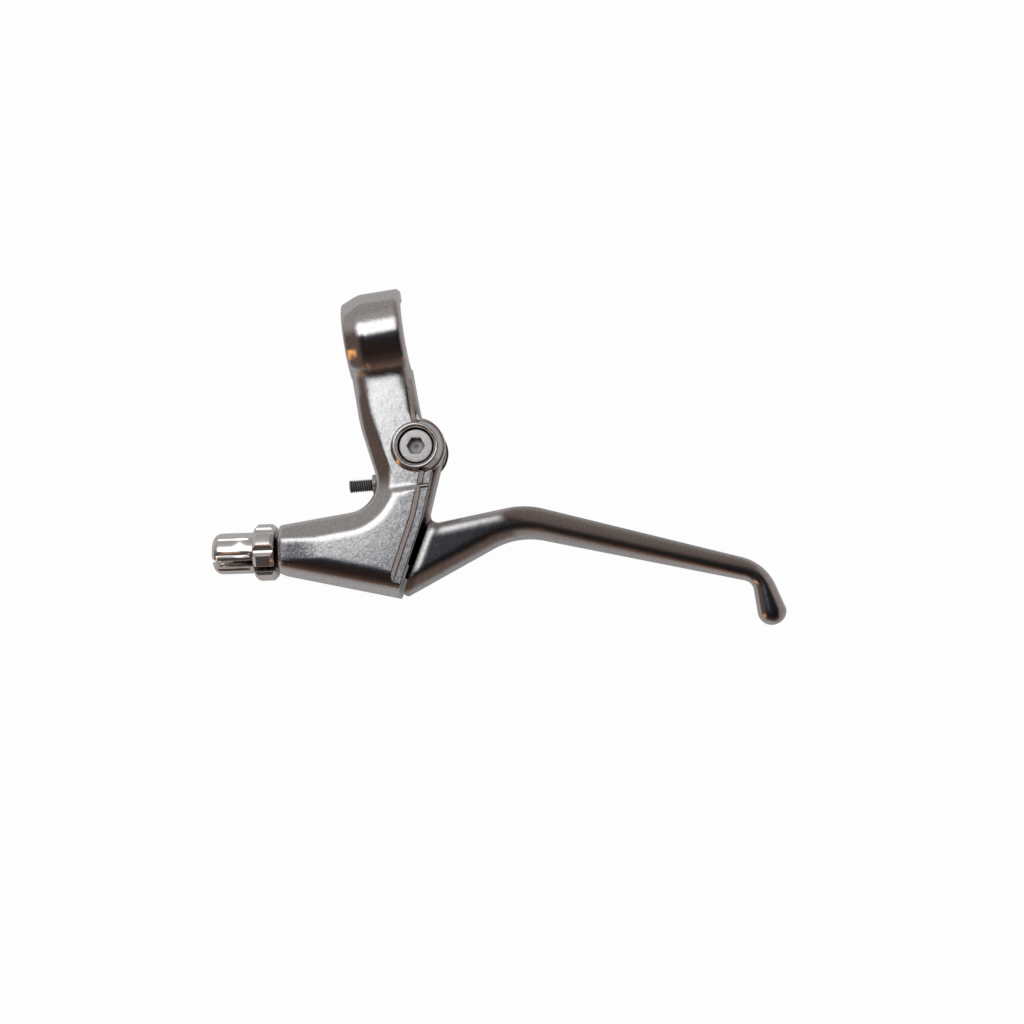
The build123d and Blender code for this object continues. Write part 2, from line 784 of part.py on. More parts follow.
# Clamp bolt, up through the ear into the neck
clamp_head_plane = Plane(origin=(0, clamp_bolt_y, ear_bottom + clamp_head_sunk), z_dir=(0, 0, -1))
with BuildPart() as clamp_bolt:
    with BuildSketch(clamp_head_plane):
        Circle(clamp_head_diameter / 2)
    extrude(amount=clamp_head_height)
    chamfer(clamp_bolt.edges().sort_by(Axis.Z)[0], bolt_edge)
    with BuildSketch(clamp_head_plane):
        Circle(clamp_bolt_diameter / 2)
    extrude(amount=-clamp_bolt_length)
    chamfer(clamp_bolt.edges().sort_by(Axis.Z)[-1], bolt_edge)
    with BuildSketch(clamp_head_plane.offset(clamp_head_height)):
        RegularPolygon(hexagon(clamp_hex), 6)
    extrude(amount=-clamp_hex_depth, mode=Mode.SUBTRACT)
clamp_bolt.part.label = "clamp_bolt"
export_step(clamp_bolt.part, "parts/clamp_bolt.step")

# Reach screw, headless, with a hexagon socket at its outer end
with BuildPart() as reach_screw:
    with BuildSketch(reach_plane):
        Circle(reach_diameter / 2)
    extrude(amount=reach_length)
    chamfer(reach_screw.edges().filter_by(GeomType.CIRCLE), bolt_edge)
    with BuildSketch(reach_plane):
        RegularPolygon(hexagon(reach_hex), 6)
    extrude(amount=reach_hex_depth, mode=Mode.SUBTRACT)
reach_screw.part.label = "reach_screw"
export_step(reach_screw.part, "parts/reach_screw.step")

# Barrel adjuster: threaded stem, fluted barrel with a domed end, slit along one side
barrel_radius = barrel_diameter / 2
ring_end = ring_gap + ring_length
barrel_end = ring_end + barrel_length
stem_radius = adjuster_thread / 2 - thread_clearance
dome_angles = [radians(90 * step / dome_steps) for step in range(dome_steps + 1)]
dome = [
    (barrel_end - barrel_dome * (1 - sin(angle)), barrel_radius - barrel_dome * (1 - cos(angle)))
    for angle in dome_angles
]
with BuildPart() as adjuster:
    with BuildSketch(cable_plane):
        with BuildLine():
            Polyline(
                (barrel_end, 0),
                (-thread_engaged, 0),
                (-thread_engaged, stem_radius - bolt_edge),
                (bolt_edge - thread_engaged, stem_radius),
                (ring_end, stem_radius),
                (ring_end, barrel_radius),
                *dome,
                close=True,
            )
        make_face()
    revolve(axis=cable_axis)
    with BuildSketch(end_plane.offset(ring_end + flute_land)):
        with PolarLocations(barrel_radius + flute_rise, barrel_flutes):
            Circle(flute_radius)
    extrude(amount=barrel_length, mode=Mode.SUBTRACT)
    with BuildSketch(end_plane.offset(barrel_end)):
        Circle(ferrule_diameter / 2)
    extrude(amount=-ferrule_depth, mode=Mode.SUBTRACT)
    with BuildSketch(end_plane.offset(-thread_engaged)):
        Circle(cable_slot / 2)
        Rectangle(
            barrel_diameter, cable_slot, rotation=adjuster_slot_angle, align=(Align.MIN, Align.CENTER)
        )
    extrude(amount=thread_engaged + barrel_end, mode=Mode.SUBTRACT)
adjuster.part.label = "barrel_adjuster"
export_step(adjuster.part, "parts/barrel_adjuster.step")

# Lock ring on the adjuster's thread, scalloped for the fingers and slit for the cable
ring_radius = ring_diameter / 2
with BuildPart() as lock_ring:
    with BuildSketch(end_plane.offset(ring_gap)):
        Circle(ring_radius)
    extrude(amount=ring_length)
    chamfer(lock_ring.edges().filter_by(GeomType.CIRCLE), ring_chamfer)
    with BuildSketch(end_plane.offset(ring_gap)):
        with PolarLocations(ring_radius + ring_flute_radius - ring_flute_depth, ring_flutes):
            Circle(ring_flute_radius)
        Circle(adjuster_thread / 2)
        Rectangle(
            ring_diameter, cable_slot, rotation=ring_slot_angle, align=(Align.MIN, Align.CENTER)
        )
    extrude(amount=ring_length, mode=Mode.SUBTRACT)
lock_ring.part.label = "lock_ring"
export_step(lock_ring.part, "parts/lock_ring.step")
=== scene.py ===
# %% [markdown]
# # A polished brake lever
# The solids of the lever come from a imported CAD model, already in metres and in
# their real places. This lesson keeps them where they are, gives each one its
# finish, and swaps the few turned pieces whose threads a solid can't carry well.
# The box round the solids is kept from the start, and the paper is laid just under it.

# %% Load the imported solids
import json
from math import asin, cos, pi, radians, sin, sqrt, tan

import bmesh
import bpy
from mathutils import Matrix, Vector


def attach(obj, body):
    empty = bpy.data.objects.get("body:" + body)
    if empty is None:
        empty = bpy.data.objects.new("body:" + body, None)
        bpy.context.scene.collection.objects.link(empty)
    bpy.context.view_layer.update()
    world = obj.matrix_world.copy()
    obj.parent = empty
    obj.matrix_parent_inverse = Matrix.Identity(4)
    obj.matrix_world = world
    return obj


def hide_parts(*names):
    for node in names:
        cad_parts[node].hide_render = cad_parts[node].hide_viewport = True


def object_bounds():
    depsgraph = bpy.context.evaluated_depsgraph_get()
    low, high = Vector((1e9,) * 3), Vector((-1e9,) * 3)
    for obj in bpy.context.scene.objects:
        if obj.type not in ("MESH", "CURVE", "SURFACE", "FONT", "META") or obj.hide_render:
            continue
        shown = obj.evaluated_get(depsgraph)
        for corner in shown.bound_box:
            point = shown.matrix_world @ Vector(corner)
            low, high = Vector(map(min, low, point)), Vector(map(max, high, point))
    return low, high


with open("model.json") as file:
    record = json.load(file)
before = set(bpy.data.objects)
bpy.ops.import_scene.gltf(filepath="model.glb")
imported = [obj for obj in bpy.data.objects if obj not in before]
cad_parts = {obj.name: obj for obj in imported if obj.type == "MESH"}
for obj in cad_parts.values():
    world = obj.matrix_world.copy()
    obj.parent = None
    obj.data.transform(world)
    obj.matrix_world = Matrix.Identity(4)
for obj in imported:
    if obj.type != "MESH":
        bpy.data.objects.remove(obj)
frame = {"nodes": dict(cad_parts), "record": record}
cad_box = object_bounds()
scene = bpy.context.scene
scene.view_settings.view_transform = "Standard"
MM = 0.001
print("solids:", sorted(frame["nodes"]))

# %% [markdown]
# ## The camera
# The lever was shot from nearly straight above, a little from below and from the
# right of the picture, with the handlebar's axis rising to the right. A washer
# under the pivot peeps out beside the boss, and that gives the tilt. The camera
# is built from its three axes, which is safer than guessing Euler angles.

# %% Place the camera
LOOK_AT = Vector((33.75, -60.39, 0.0)) * MM
SHOT_DISTANCE = 600 * MM
PICTURE_WIDTH = 319.5 * MM
NEAREST = 10 * MM
BAR_RISE = radians(9.0)
TILT_DOWN = tan(radians(5.5))
TILT_RIGHT = tan(radians(2.9))
SENSOR_MM = 36.0

picture_right = Vector((cos(BAR_RISE), -sin(BAR_RISE), 0))
picture_up = Vector((sin(BAR_RISE), cos(BAR_RISE), 0))
back = Vector((0, 0, 1)) + picture_right * TILT_RIGHT - picture_up * TILT_DOWN
back.normalize()
side = (picture_right - back * picture_right.dot(back)).normalized()
top = back.cross(side)

lens = bpy.data.cameras.new("shot_camera")
lens.sensor_width = SENSOR_MM
lens.lens = SENSOR_MM * SHOT_DISTANCE / PICTURE_WIDTH
lens.clip_start = NEAREST
camera = bpy.data.objects.new("shot_camera", lens)
scene.collection.objects.link(camera)
camera.matrix_world = Matrix.Translation(LOOK_AT + back * SHOT_DISTANCE) @ (
    Matrix((side, top, back)).transposed().to_4x4()
)
scene.camera = camera
print("camera at", [round(c / MM) for c in camera.location], "mm, lens", round(lens.lens, 1))

# %% [markdown]
# ## Small helpers for shader nodes
# Node trees are easier to read when a node, its settings and its links stand on
# one line. An input takes either a plain value or another node's output socket.

# %% Node helpers
def node(tree, kind, inputs=None, **settings):
    made = tree.nodes.new(kind)
    for name, value in settings.items():
        setattr(made, name, value)
    for name, value in (inputs or {}).items():
        if isinstance(value, bpy.types.NodeSocket):
            tree.links.new(value, made.inputs[name])
        else:
            made.inputs[name].default_value = value
    return made


def math(tree, operation, first, second=0.0, third=0.0):
    inputs = {0: first, 1: second, 2: third}
    return node(tree, "ShaderNodeMath", inputs, operation=operation).outputs[0]


def vector(tree, operation, inputs, output="Vector"):
    sockets = dict(enumerate(inputs))
    return node(tree, "ShaderNodeVectorMath", sockets, operation=operation).outputs[output]


def fade(tree, value, start, end):
    """0 before the start, 1 past the end, with a soft rise between them."""
    inputs = {"Value": value, "From Min": start, "From Max": end}
    made = node(tree, "ShaderNodeMapRange", inputs, interpolation_type="SMOOTHSTEP")
    return made.outputs["Result"]


print("node helpers ready")

# %% [markdown]
# ## Two helpers for colour
# A colour ramp turns a number into a row of colours, and a mix lays one colour
# over another. The Mix node has a socket of the same name for each kind of data,
# so the helper picks the one that is switched on.

# %% Colour helpers
def ramp(tree, position, stops):
    made = node(tree, "ShaderNodeValToRGB", {"Fac": position})
    elements = made.color_ramp.elements
    while len(elements) < len(stops):
        elements.new(1.0)
    for element, (place, colour) in zip(elements, stops):
        element.position = place
        element.color = (*colour, 1.0)
    return made.outputs["Color"]


def mix(tree, factor, first, second):
    made = node(tree, "ShaderNodeMix", data_type="RGBA")
    ends = zip(("Factor", "A", "B"), (factor, first, second))
    for name, value in ends:
        socket = next(s for s in made.inputs if s.name == name and s.enabled)
        if isinstance(value, bpy.types.NodeSocket):
            tree.links.new(value, socket)
        else:
            socket.default_value = value if name == "Factor" else (*value, 1.0)
    return next(s for s in made.outputs if s.name == "Result" and s.enabled)


print("colour helpers ready")

# %% [markdown]
# ## The studio's colours
# Polished metal has hardly any colour of its own: it shows the room. Cards and
# soft boxes could stand round the lever, but they would get in the way of other
# views, so the room is painted into the world by direction. Each row below runs
# from the front over the top to the back, in degrees from straight up: brown and
# dark where the camera stands, then a white panel, then pale walls. The second
# row is the darker room to the right of the panel.

# %% List the room's colours
def round_the_room(stops):
    return [(0.5 + degrees / 360, colour) for degrees, colour in stops]


UNDER_PANEL = round_the_room([
    (-180, (0.50, 0.48, 0.47)),
    (-90, (0.36, 0.33, 0.32)),
    (-83, (0.29, 0.25, 0.235)),
    (-79, (0.16, 0.10, 0.078)),
    (-70, (0.10, 0.06, 0.046)),
    (-58, (0.050, 0.031, 0.025)),
    (-40, (0.022, 0.015, 0.013)),
    (-4, (0.022, 0.019, 0.019)),
    (4, (0.048, 0.052, 0.064)),
    (7, (0.082, 0.088, 0.108)),
    (8, (0.14, 0.143, 0.158)),
    (9.1, (0.33, 0.335, 0.35)),
    (10.2, (0.60, 0.605, 0.615)),
    (11.7, (1.0, 1.0, 1.01)),
    (13.2, (1.25, 1.25, 1.25)),
    (18, (1.5, 1.5, 1.5)),
    (35, (1.5, 1.5, 1.5)),
    (46, (0.42, 0.40, 0.39)),
    (70, (0.30, 0.28, 0.27)),
    (95, (0.32, 0.30, 0.29)),
    (180, (0.50, 0.48, 0.47)),
])
BESIDE_PANEL = round_the_room([
    (-180, (0.40, 0.37, 0.36)),
    (-90, (0.22, 0.175, 0.155)),
    (-82, (0.13, 0.092, 0.077)),
    (-68, (0.07, 0.05, 0.042)),
    (-55, (0.022, 0.018, 0.017)),
    (-30, (0.012, 0.011, 0.012)),
    (0, (0.014, 0.013, 0.014)),
    (6, (0.020, 0.019, 0.021)),
    (13, (0.025, 0.022, 0.022)),
    (20, (0.055, 0.042, 0.038)),
    (26, (0.115, 0.088, 0.079)),
    (34, (0.15, 0.116, 0.104)),
    (62, (0.20, 0.162, 0.146)),
    (86, (0.28, 0.25, 0.235)),
    (180, (0.40, 0.37, 0.36)),
])
print("room listed with", len(UNDER_PANEL) + len(BESIDE_PANEL), "stops")

# %% [markdown]
# ## The white panel
# The lever's flat arm mirrors only a small patch of the room, just where the
# panel ends. A straight edge there would cut the arm into a white and a black
# half. So the panel bulges forward at that place, with a long tail to the left
# and a short one to the right, and the arm gets an even, soft grey.

# %% Paint the panel
PANEL_BULGE = radians(5.0)
BULGE_AT, BULGE_LEFT, BULGE_RIGHT = -0.122, 0.24, 0.075
BULGE_STARTS, BULGE_FULL = radians(-40), 0.0
PANEL_EDGE = (-0.07, 0.05)

world = bpy.data.worlds.new("studio")
scene.world = world
world.use_nodes = True
room = world.node_tree
room.nodes.clear()

direction = node(room, "ShaderNodeTexCoord").outputs["Generated"]
axes = node(room, "ShaderNodeSeparateXYZ", {"Vector": direction}).outputs
rightward = axes["X"]
leftward = math(room, "MULTIPLY", rightward, -1.0)
angle = math(room, "ARCTAN2", axes["Y"], axes["Z"])
off_middle = math(room, "SUBTRACT", rightward, BULGE_AT)
off_middle = math(room, "MAXIMUM", math(room, "DIVIDE", off_middle, -BULGE_LEFT),
                  math(room, "DIVIDE", off_middle, BULGE_RIGHT))
bulge = math(room, "MULTIPLY", fade(room, off_middle, 1.0, 0.0), PANEL_BULGE)
bulge = math(room, "MULTIPLY", bulge, fade(room, angle, BULGE_STARTS, BULGE_FULL))
angle = math(room, "ADD", angle, bulge)
place = math(room, "MULTIPLY_ADD", angle, 0.5 / pi, 0.5)
studio = mix(room, fade(room, rightward, *PANEL_EDGE),
             ramp(room, place, UNDER_PANEL), ramp(room, place, BESIDE_PANEL))
print("panel painted, its edge bulges by", round(PANEL_BULGE, 3), "radians")

# %% [markdown]
# ## Wood, walls and a warm lamp
# Thin orange lines along the creases are what makes the metal look polished in a
# real room. They come from wood low in front: broken patches on the right, found
# with a noise, and a dim board on the left. Plain walls close the room at both
# sides, and a warm lamp low on the left puts one glint on the handlebar band.

# %% Paint the wood, the walls and the lamp
BLACK, WHITE = (0, 0, 0), (1, 1, 1)
WOOD = (1.4, 0.55, 0.17)
WOOD_STRIP = round_the_room([(-76, BLACK), (-73, WHITE), (-67, WHITE), (-63, BLACK)])
BOARD_EDGES = (0.24, 0.27, 0.33, 0.35)
BOARD_SHARE = 0.3
PATCH_SCALE, PATCH_FADE, PATCH_SIDE = 7.0, (0.5, 0.6), (0.15, 0.3)
LEFT_WALL, BACK_WALL = (0.115, 0.082, 0.07), (0.31, 0.29, 0.28)
RIGHT_WALL = (0.33, 0.28, 0.26)
WALL_FADE, BACK_FADE = (0.45, 0.75), (0.15, 0.55)
WARM_LAMP = (2.2, 0.95, 0.28)
WARM_STRIP = round_the_room([(-72, BLACK), (-64, WHITE), (-36, WHITE), (-26, BLACK)])
WARM_EDGES = (0.775, 0.80, 0.87, 0.89)


def between(tree, value, edges):
    """1 between the two middle edges, fading to 0 at the outer ones."""
    return math(tree, "SUBTRACT", fade(tree, value, *edges[:2]), fade(tree, value, *edges[2:]))


noise = node(room, "ShaderNodeTexNoise", {
    "Vector": direction, "Scale": PATCH_SCALE, "Detail": 1.0}).outputs["Fac"]
patches = math(room, "MULTIPLY", fade(room, noise, *PATCH_FADE),
               fade(room, rightward, *PATCH_SIDE))
board = math(room, "MULTIPLY", between(room, leftward, BOARD_EDGES), BOARD_SHARE)
wood = math(room, "MULTIPLY", math(room, "MAXIMUM", patches, board),
            ramp(room, place, WOOD_STRIP))
studio = mix(room, wood, studio, WOOD)
left_side = mix(room, fade(room, axes["Y"], *BACK_FADE), LEFT_WALL, BACK_WALL)
studio = mix(room, fade(room, leftward, *WALL_FADE), studio, left_side)
studio = mix(room, fade(room, rightward, *WALL_FADE), studio, RIGHT_WALL)
warm = math(room, "MULTIPLY", between(room, leftward, WARM_EDGES),
            ramp(room, place, WARM_STRIP))
studio = mix(room, warm, studio, WARM_LAMP)
shade = node(room, "ShaderNodeBackground", {"Color": studio, "Strength": 1.0})
node(room, "ShaderNodeOutputWorld", {"Surface": shade.outputs["Background"]})
print("room has", len(room.nodes), "nodes")

# %% [markdown]
# ## The floor
# The lever lies on white paper. A single large square is enough, a hair below the lowest solid.

# %% Lay the paper
PAPER_SIZE = 16.0
PAPER_GAP = 0.2 * MM
paper_mesh = bpy.data.meshes.new("paper")
half = PAPER_SIZE / 2
floor_z = cad_box[0].z - PAPER_GAP
corners = [(-half, -half), (half, -half), (half, half), (-half, half)]
paper_mesh.from_pydata([(x, y, floor_z) for x, y in corners], [], [(0, 1, 2, 3)])
paper = bpy.data.objects.new("paper", paper_mesh)
scene.collection.objects.link(paper)
print("paper at", round(floor_z / MM, 1), "mm")

# %% [markdown]
# ## The paper's white
# The camera sees white all over. Reflections see the paper as it is lit, pale near
# the lever and brown as a table further out, with a share of the same white, so
# the lever's lower edges stay pale grey and don't melt into the paper. From below
# the paper is clear, so the underside can be looked at too.

# %% Whiten the paper
CAMERA_WHITE = 0.98
REFLECTED_WHITE = 0.25
TABLETOP = [(0.25, (0.36, 0.34, 0.33)), (0.60, (0.16, 0.12, 0.10))]

sheet = bpy.data.materials.new("white_paper")
sheet.use_nodes = True
tree = sheet.node_tree
tree.nodes.clear()
rays = node(tree, "ShaderNodeLightPath").outputs
reflected = math(tree, "MAXIMUM", rays["Is Glossy Ray"], rays["Is Transmission Ray"])
seen = math(tree, "MULTIPLY", reflected, REFLECTED_WHITE)
seen = math(tree, "MULTIPLY_ADD", rays["Is Camera Ray"], CAMERA_WHITE, seen)
spot = node(tree, "ShaderNodeTexCoord").outputs["Object"]
spread = vector(tree, "LENGTH", [spot], "Value")
glow = node(tree, "ShaderNodeEmission", {"Color": (1, 1, 1, 1), "Strength": 1.0})
matt = node(tree, "ShaderNodeBsdfDiffuse", {"Color": ramp(tree, spread, TABLETOP)})
lit = node(tree, "ShaderNodeMixShader", {
    0: seen, 1: matt.outputs["BSDF"], 2: glow.outputs["Emission"]})
clear = node(tree, "ShaderNodeBsdfTransparent")
one_sided = node(tree, "ShaderNodeMixShader", {
    0: node(tree, "ShaderNodeNewGeometry").outputs["Backfacing"],
    1: lit.outputs["Shader"], 2: clear.outputs["BSDF"]})
node(tree, "ShaderNodeOutputMaterial", {"Surface": one_sided.outputs["Shader"]})
paper_mesh.materials.append(sheet)
print("paper is", sheet.name)

# %% [markdown]
# ## A soft lamp
# One large soft lamp stands over the back of the lever, where the room is white,
# and lifts the light to a plain level without a hard shadow. The metal doesn't
# mirror it, because the room already has its white panel.

# %% Hang the lamp
LAMP_AT = Vector((-40, 330, 700)) * MM
LAMP_WIDTH, LAMP_DEPTH = 0.9, 0.4
LAMP_WATTS = 3.0
lamp = bpy.data.lights.new("soft_lamp", "AREA")
lamp.shape = "RECTANGLE"
lamp.size = LAMP_WIDTH
lamp.size_y = LAMP_DEPTH
lamp.energy = LAMP_WATTS
lamp_object = bpy.data.objects.new("soft_lamp", lamp)
scene.collection.objects.link(lamp_object)
lamp_object.location = LAMP_AT
lamp_object.visible_glossy = False
lamp_object.rotation_euler = (LOOK_AT - LAMP_AT).to_track_quat("-Z", "Y").to_euler()
print("lamp at", [round(c / MM) for c in LAMP_AT], "mm")

# %% [markdown]
# ## Metal grain, one group for every metal
# The casting was tumbled and polished, and the light still breaks up on fine
# grains and on slow waves left by the wheel. A noise bump makes such grain look
# like leather, so each grain here is a small facet: a Voronoi cell whose colour
# leans the normal a little. The slow waves are a real bump far below a millimetre.
# A Bevel node rounds sharp corners first, and the cells also come out as a mask, so that
# roughness and colour can follow them. The colour that follows them is partly the metal's own
# grain tone and partly painted sparkle: light and dark specks that stand in for glints on the
# grains.

# %% Build the grain group
NUMBER = "NodeSocketFloat"
SHADE_SAMPLES = 8
CELL_MIDDLE = (0.5, 0.5, 0.5)


def shader_group(name, inputs, outputs):
    tree = bpy.data.node_groups.new(name, "ShaderNodeTree")
    for socket, value in inputs.items():
        made = tree.interface.new_socket(socket, in_out="INPUT", socket_type=NUMBER)
        made.default_value = value
    for socket, kind in outputs.items():
        tree.interface.new_socket(socket, in_out="OUTPUT", socket_type=kind)
    given = tree.nodes.new("NodeGroupInput").outputs
    return tree, given, tree.nodes.new("NodeGroupOutput").inputs


grain_group, given, result = shader_group("metal_grain", {
    "Grain Scale": 2800.0, "Grain Tilt": 0.02, "Wave Scale": 420.0, "Wave Depth": 1.2e-5,
    "Corner Radius": 3e-4}, {"Normal": "NodeSocketVector", "Grain": NUMBER})
spot = node(grain_group, "ShaderNodeTexCoord").outputs["Object"]
cells = node(grain_group, "ShaderNodeTexVoronoi", {
    "Vector": spot, "Scale": given["Grain Scale"]}).outputs["Color"]
slow = node(grain_group, "ShaderNodeTexNoise", {
    "Vector": spot, "Scale": given["Wave Scale"], "Detail": 2.0}).outputs["Fac"]
corner = node(grain_group, "ShaderNodeBevel", {"Radius": given["Corner Radius"]},
              samples=SHADE_SAMPLES).outputs["Normal"]
lean = node(grain_group, "ShaderNodeVectorMath", {
    0: vector(grain_group, "SUBTRACT", [cells, CELL_MIDDLE]),
    "Scale": given["Grain Tilt"]}, operation="SCALE").outputs["Vector"]
facet = vector(grain_group, "NORMALIZE", [vector(grain_group, "ADD", [corner, lean])])
waves = node(grain_group, "ShaderNodeBump", {
    "Height": slow, "Distance": given["Wave Depth"], "Normal": facet}).outputs["Normal"]
lot = node(grain_group, "ShaderNodeSeparateColor", {"Color": cells}).outputs["Red"]
grain_group.links.new(waves, result["Normal"])
grain_group.links.new(lot, result["Grain"])
print("group", grain_group.name, "made")

# %% [markdown]
# ## Painted shade in the gaps
# Gaps between the pieces, the bolt's socket and the thread roots get little light. An Ambient
# Occlusion node finds such hollows by their shape, from any side, and the group turns it into a
# mask: 0 in a deep gap, 1 on open faces. The metals darken their colour by this mask, which is
# painted shade.

# %% Build the painted gap shade group
GAP_SHADE_INPUTS = {"Reach": 2.5e-3, "Deep": 0.12, "Open": 0.6}
gap_shade_group, given, result = shader_group("painted_gap_shade", GAP_SHADE_INPUTS, {"Unshaded": NUMBER})
hollow = node(gap_shade_group, "ShaderNodeAmbientOcclusion", {"Distance": given["Reach"]},
              samples=SHADE_SAMPLES).outputs["AO"]
gap_shade_group.links.new(fade(gap_shade_group, hollow, given["Deep"], given["Open"]), result["Unshaded"])
print("group", gap_shade_group.name, "made")

# %% [markdown]
# ## One recipe for the metals
# All of them are one Principled shader with the two groups before it. What
# changes is the colour, how rough the polish is, and how far the grains lean.
# Metallic is the same all over, so it is set on the shader itself.

# %% Write the recipe
# Painted shade: the dark colour that the metals take in deep gaps.
PAINTED_GAP_SHADE = (0.012, 0.011, 0.011)


def metal(name, dark, light, smooth, rough, metallic=1.0, **settings):
    made = bpy.data.materials.new(name)
    made.use_nodes = True
    tree = made.node_tree
    shader = tree.nodes["Principled BSDF"]
    surface = node(tree, "ShaderNodeGroup", node_tree=grain_group)
    gap_shade_node = node(tree, "ShaderNodeGroup", node_tree=gap_shade_group)
    for socket, value in settings.items():
        group = gap_shade_node if socket in GAP_SHADE_INPUTS else surface
        group.inputs[socket.replace("_", " ")].default_value = value
    # The grain mask sets the roughness and picks between the dark and the light tone; these
    # specks are partly the metal's own grain and partly painted sparkle for glints.
    grains = surface.outputs["Grain"]
    span = node(tree, "ShaderNodeMapRange", {
        "Value": grains, "To Min": smooth, "To Max": rough})
    # Painted shade: where the mask finds a hollow, the colour darkens to the dark gap colour.
    colour = mix(tree, gap_shade_node.outputs["Unshaded"], PAINTED_GAP_SHADE, mix(tree, grains, dark, light))
    tree.links.new(colour, shader.inputs["Base Color"])
    tree.links.new(span.outputs["Result"], shader.inputs["Roughness"])
    tree.links.new(surface.outputs["Normal"], shader.inputs["Normal"])
    shader.inputs["Metallic"].default_value = metallic
    return made


print("recipe for metals ready")

# %% [markdown]
# ## The six finishes
# The bracket is a polished casting and the lever a polished forging, a shade
# darker. The bolts are matt zinc, which is more a pale paint than a mirror, so it
# is hardly metallic. Black oxide is dark and half matt, and the adjuster and its
# ring are bright chrome.

# %% Mix the metals
finishes = {
    "bracket_alloy": metal(
        "polished_casting", (0.66, 0.655, 0.66), (0.88, 0.87, 0.87), 0.06, 0.12,
        Grain_Scale=3200, Grain_Tilt=0.016, Reach=3.5e-3, Deep=0.3, Open=0.65),
    "lever_alloy": metal(
        "polished_forging", (0.56, 0.555, 0.56), (0.74, 0.73, 0.73), 0.05, 0.10,
        Grain_Scale=3200, Grain_Tilt=0.02, Corner_Radius=3.6e-3,
        Reach=3.5e-3, Deep=0.3, Open=0.65),
    "bush_brass": metal(
        "turned_brass", (0.62, 0.46, 0.20), (0.78, 0.60, 0.30), 0.2, 0.3),
    "bolt_steel": metal(
        "matt_zinc", (0.72, 0.72, 0.73), (1.0, 1.0, 1.0), 0.36, 0.5, metallic=0.25,
        Grain_Tilt=0.15, Wave_Depth=0.0, Reach=4e-3, Open=0.85),
    "black_steel": metal(
        "black_oxide", (0.20, 0.20, 0.205), (0.26, 0.26, 0.265), 0.26, 0.34,
        Grain_Tilt=0.01, Wave_Depth=0.0, Reach=8e-4),
    "bright_chrome": metal(
        "satin_chrome", (0.86, 0.84, 0.83), (0.95, 0.93, 0.92), 0.05, 0.09, metallic=0.9,
        Grain_Tilt=0.01, Wave_Depth=6e-6, Corner_Radius=2e-4, Reach=3e-3, Deep=0.3),
}
slot_of = {row["node"]: row["material_slot"] for row in frame["record"]["subparts"]}
for name, solid in frame["nodes"].items():
    solid.data.materials.clear()
    solid.data.materials.append(finishes[slot_of[name]])
    print(name, "is", finishes[slot_of[name]].name)

# %% [markdown]
# ## Rolled creases on the casting
# A polishing wheel rolls the casting's long creases over, but it can't reach the
# pivot's boss and the lever's mouth, which stay crisp. So the Bevel's radius isn't
# one number here: it grows with the distance from the pivot and from the mouth,
# and once more where the band meets the neck. The distances are measured in plan.

# %% Roll the creases
CREASE_ROUND, ROLLED, SEAM_ROLLED = 6e-4, 2.0e-3, 2.4e-3
PIVOT_AT, CLEAR_OF_PIVOT = (7.8e-3, -36.4e-3, 0.0), (9e-3, 12e-3)
MOUTH_AT, MOUTH_OUT = (6.6e-3, -59e-3, 0.0), (-0.893, 0.45, 0.0)
CLEAR_OF_MOUTH = (5.5e-3, 8e-3)
SEAM_Y, SEAM_FADE = -14e-3, (6e-3, 2e-3)

tree = finishes["bracket_alloy"].node_tree
spot = node(tree, "ShaderNodeTexCoord").outputs["Object"]
in_plan = vector(tree, "MULTIPLY", [spot, (1, 1, 0)])
from_pivot = vector(tree, "DISTANCE", [in_plan, PIVOT_AT], "Value")
from_mouth = vector(tree, "SUBTRACT", [in_plan, MOUTH_AT])
from_mouth = vector(tree, "DOT_PRODUCT", [from_mouth, MOUTH_OUT], "Value")
rolled = math(tree, "MULTIPLY", fade(tree, from_pivot, *CLEAR_OF_PIVOT),
              fade(tree, from_mouth, *CLEAR_OF_MOUTH))
along_neck = node(tree, "ShaderNodeSeparateXYZ", {"Vector": in_plan}).outputs["Y"]
from_seam = math(tree, "ABSOLUTE", math(tree, "SUBTRACT", along_neck, SEAM_Y))
radius = math(tree, "MULTIPLY_ADD", rolled, ROLLED, CREASE_ROUND)
radius = math(tree, "MULTIPLY_ADD", fade(tree, from_seam, *SEAM_FADE), SEAM_ROLLED, radius)
casting = next(n for n in tree.nodes if n.type == "GROUP" and n.node_tree == grain_group)
tree.links.new(radius, casting.inputs["Corner Radius"])
print("creases rolled to", (CREASE_ROUND + ROLLED) / MM, "mm")

# %% [markdown]
# ## Turned pieces from rings
# A screw, a bolt or a barrel is a row of rings along an axis: each ring is a list
# of points. A thread is then no more than a radius that depends on the angle and
# on the place along the axis.

# %% Helpers for rings
THREAD_FLANK = 1.3


def axis_frame(origin, along):
    """Origin and three directions of a turned piece: along its axis, up, and across."""
    along = Vector(along).normalized()
    up = Vector((0, 0, 1)) if abs(along.z) < 0.5 else Vector((1, 0, 0))
    return Vector(origin), along, up, along.cross(up)


def place_point(frame_axes, station, radius, angle):
    origin, along, up, across = frame_axes
    spot = origin + along * station + (up * cos(angle) + across * sin(angle)) * radius
    return spot * MM


def ring(frame_axes, station, radius_at, count):
    angles = [2 * pi * i / count for i in range(count)]
    return [place_point(frame_axes, station, radius_at(a), a) for a in angles]


def thread_radius(radius, pitch, depth, station, angle):
    wave = abs(2 * ((station / pitch - angle / (2 * pi)) % 1) - 1)
    cut = min(max(THREAD_FLANK * wave - (THREAD_FLANK - 1) / 2, 0), 1)
    return radius - depth * cut


def hexagon_radius(across_flats, angle):
    return across_flats / 2 / cos((angle % (pi / 3)) - pi / 6)


print("corner of a 5 mm socket at", round(hexagon_radius(5.0, 0.0), 2), "mm")

